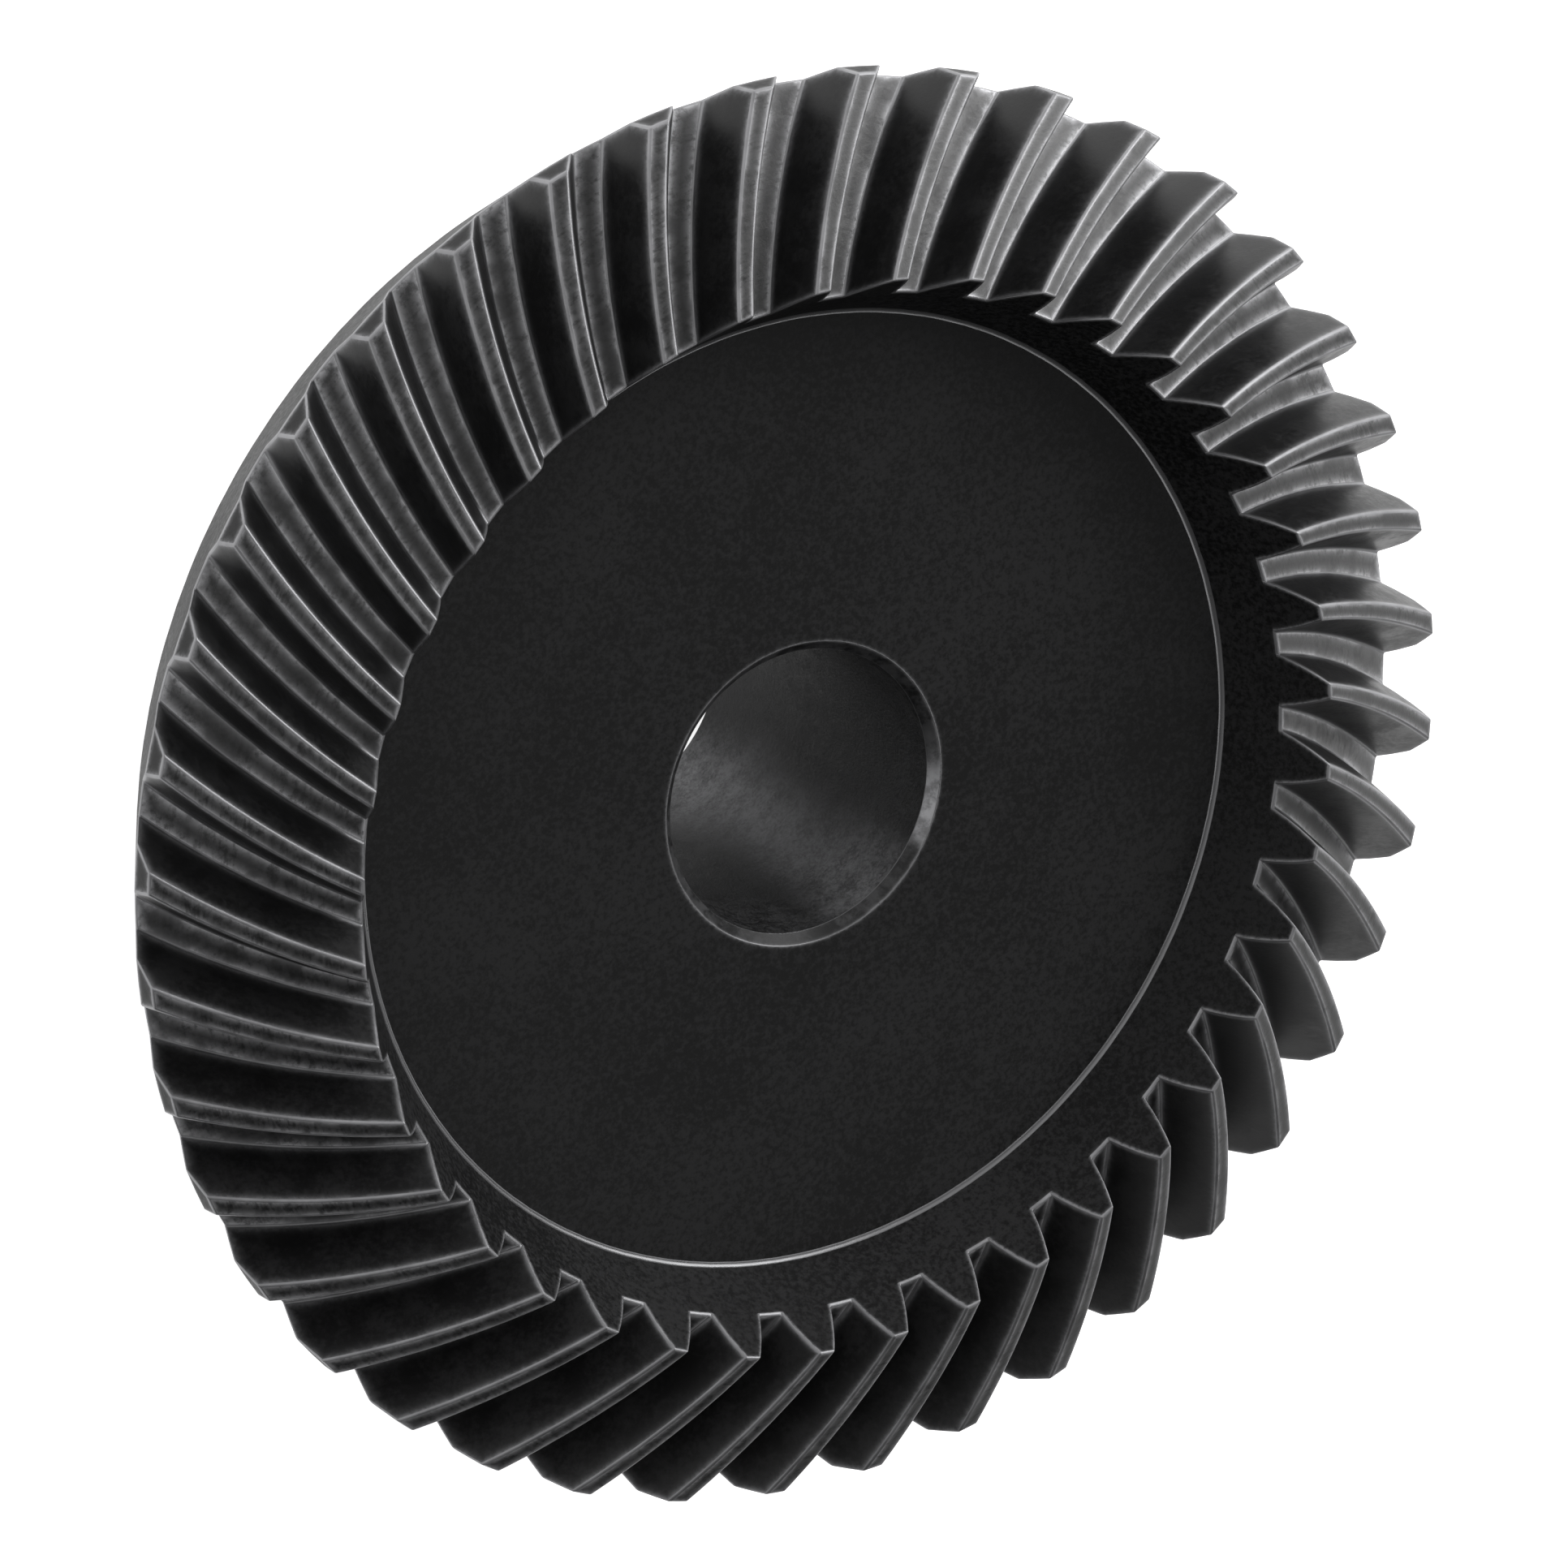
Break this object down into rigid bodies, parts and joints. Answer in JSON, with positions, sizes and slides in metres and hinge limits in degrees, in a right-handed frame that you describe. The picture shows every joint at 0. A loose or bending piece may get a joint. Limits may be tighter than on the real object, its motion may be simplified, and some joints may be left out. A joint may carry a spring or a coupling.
{
  "type": "spiral bevel gear",
  "caption": "Spiral bevel gear with a right-hand spiral, a recessed front face, a plain through bore and a round hub at the back.",
  "frame": {"origin": "centre of the back face of the hub, on the bore axis; the gear rests on this face", "axes": "+Z along the bore axis, towards the toothed front; +X through the middle of one tooth's large end"},
  "size_m": [0.0998, 0.0998, 0.0375],
  "materials": {
    "black_oxide_steel": "satin black oxide"
  },
  "bodies": {
    "root": {"spiral_bevel_gear": "black_oxide_steel"}
  },
  "joints": []
}
